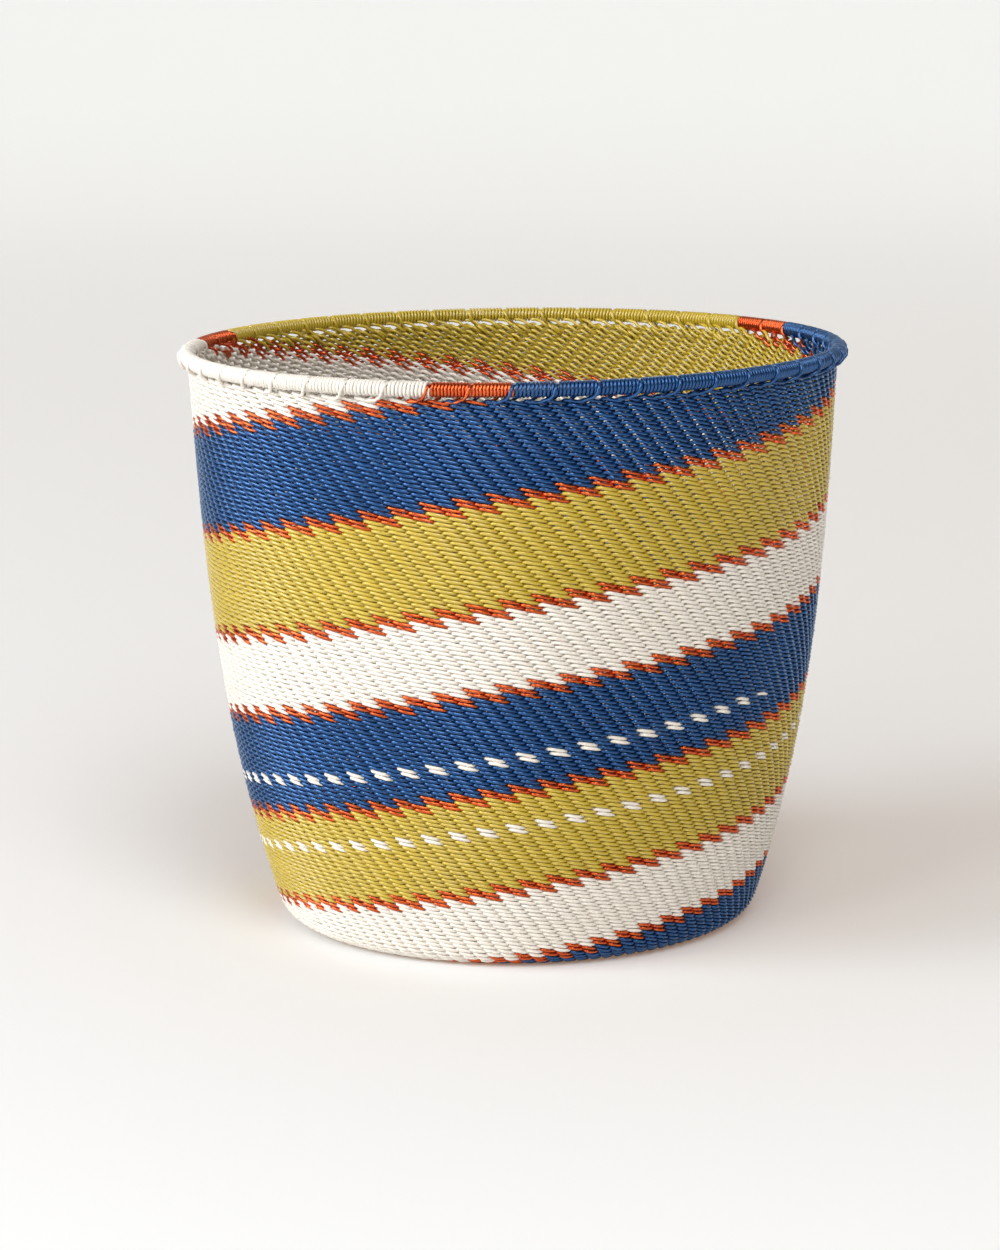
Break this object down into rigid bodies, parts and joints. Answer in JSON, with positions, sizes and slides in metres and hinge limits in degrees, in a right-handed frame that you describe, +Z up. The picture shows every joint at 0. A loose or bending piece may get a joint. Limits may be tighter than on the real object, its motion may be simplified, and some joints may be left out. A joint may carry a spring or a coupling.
{
  "type": "woven planter basket",
  "caption": "Round tapered planter basket woven from plastic-covered wire in spiral colour stripes, with a lashed steel hoop rim.",
  "frame": {"origin": "on the floor, under the centre of the basket's round base", "axes": "+Z up out of the mouth; -Y is the side that the picture shows, where the white stripe gives way to the blue one at the rim"},
  "size_m": [0.1782, 0.1783, 0.1557],
  "materials": {
    "white_wire": "satin",
    "blue_wire": "satin",
    "olive_wire": "satin",
    "copper_wire": "polished",
    "hoop_steel": "drawn",
    "base_wire": "satin"
  },
  "bodies": {
    "root": {"rim_hoop": "hoop_steel", "blue_lashing": "blue_wire", "olive_lashing": "olive_wire", "white_lashing": "white_wire", "copper_lashing_white_blue": "copper_wire", "copper_lashing_blue_olive": "copper_wire", "copper_lashing_olive_white": "copper_wire", "blue_strands": "blue_wire", "olive_strands": "olive_wire", "white_strands": "white_wire", "copper_strands_white_blue": "copper_wire", "copper_strands_blue_olive": "copper_wire", "copper_strands_olive_white": "copper_wire", "base_weave": "base_wire"}
  },
  "joints": []
}
